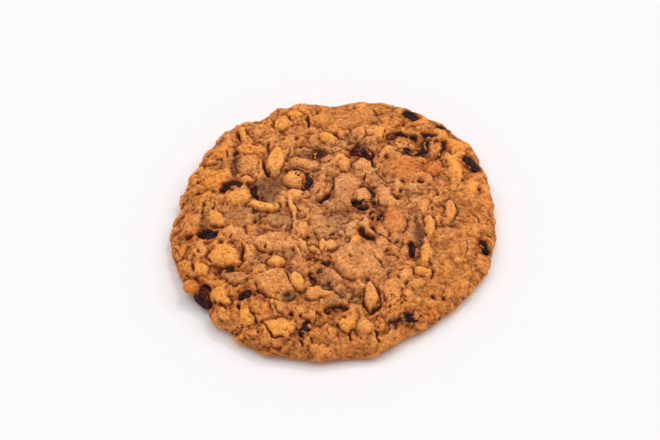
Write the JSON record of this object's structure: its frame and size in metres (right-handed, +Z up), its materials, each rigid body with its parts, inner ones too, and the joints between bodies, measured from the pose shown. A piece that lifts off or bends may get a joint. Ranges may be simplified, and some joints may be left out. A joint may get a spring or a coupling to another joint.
{
  "type": "oatmeal raisin cookie",
  "caption": "Flat round oatmeal cookie with a rough, lumpy, flaky top, a rounded rim, a flat underside and dark raisins baked into its top and edge.",
  "frame": {"origin": "centre of the flat underside", "axes": "+Z up, out of the top; the picture looks along +Y, with +X to the right"},
  "size_m": [0.0901, 0.09, 0.0102],
  "materials": {
    "baked_dough": "golden-brown baked oat dough, matt and grainy, browner on its raised parts",
    "raisin_skin": "dark purple-brown wrinkled raisin skin, semi-gloss"
  },
  "bodies": {
    "root": {"dough": "baked_dough", "raisin_01": "raisin_skin", "raisin_02": "raisin_skin", "raisin_03": "raisin_skin", "raisin_04": "raisin_skin", "raisin_05": "raisin_skin", "raisin_06": "raisin_skin", "raisin_07": "raisin_skin", "raisin_08": "raisin_skin", "raisin_09": "raisin_skin", "raisin_10": "raisin_skin", "raisin_11": "raisin_skin", "raisin_12": "raisin_skin", "raisin_13": "raisin_skin", "raisin_14": "raisin_skin", "raisin_15": "raisin_skin", "raisin_16": "raisin_skin", "raisin_17": "raisin_skin", "raisin_18": "raisin_skin", "raisin_19": "raisin_skin", "raisin_20": "raisin_skin", "raisin_21": "raisin_skin", "raisin_22": "raisin_skin", "raisin_23": "raisin_skin", "raisin_24": "raisin_skin", "raisin_25": "raisin_skin"}
  },
  "joints": []
}
